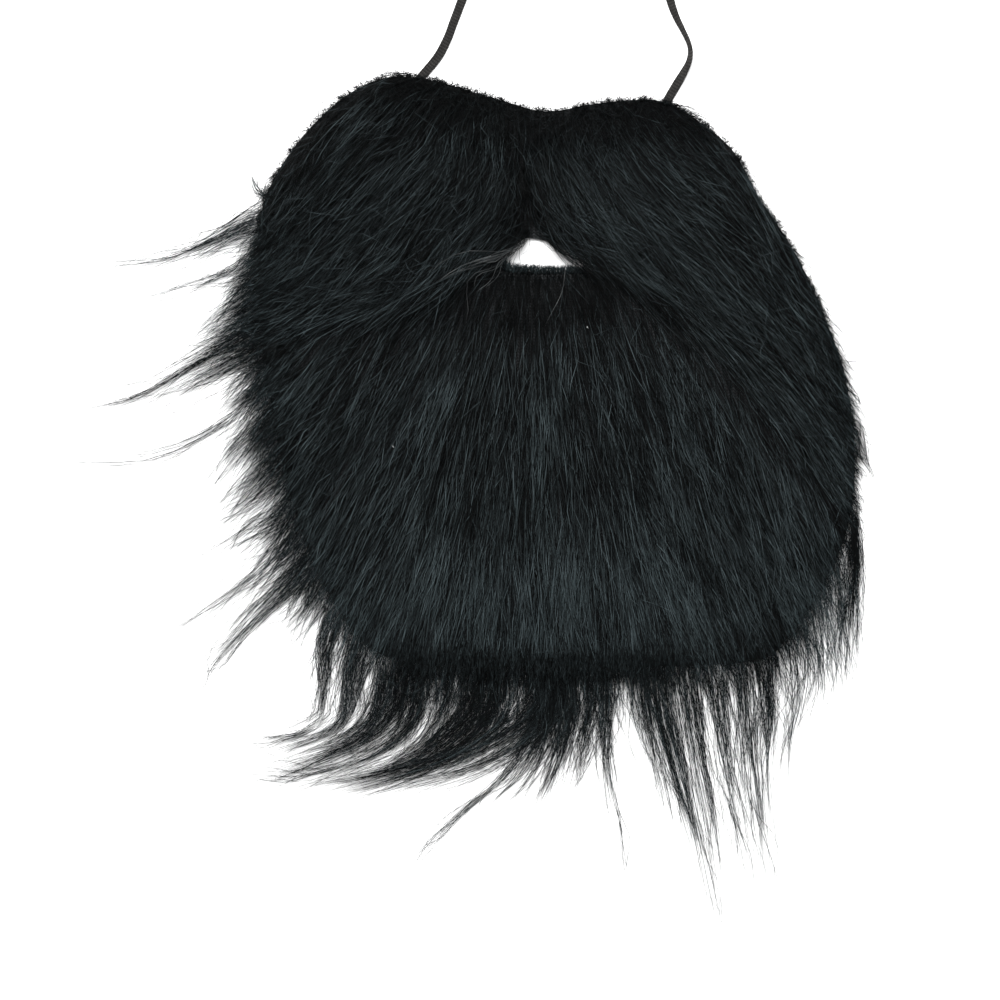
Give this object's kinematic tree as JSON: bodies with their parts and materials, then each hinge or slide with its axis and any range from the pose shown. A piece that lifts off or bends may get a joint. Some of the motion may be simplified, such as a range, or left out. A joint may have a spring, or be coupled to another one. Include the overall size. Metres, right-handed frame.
{
  "type": "fake beard",
  "caption": "Black fancy-dress beard with moustache: long-pile fur on a flat knitted cloth with a mouth slit, held on by a flat elastic loop.",
  "frame": {"origin": "on the back of the cloth, in the middle of the upper lip, between the dip of the top edge and the mouth slit", "axes": "+X across the face towards the side with the short combed edge, +Y up the face towards the elastic, +Z out of the cloth into the pile"},
  "size_m": [0.2961, 0.4227, 0.0149],
  "materials": {
    "knitted_cloth": "matt black knit",
    "long_pile": "long combed pile with a soft sheen",
    "flat_elastic": "braided flat elastic"
  },
  "bodies": {
    "root": {"backing_cloth": "knitted_cloth", "moustache_fur_left": "long_pile", "moustache_fur_right": "long_pile", "beard_fur": "long_pile", "elastic_strap": "flat_elastic"}
  },
  "joints": []
}
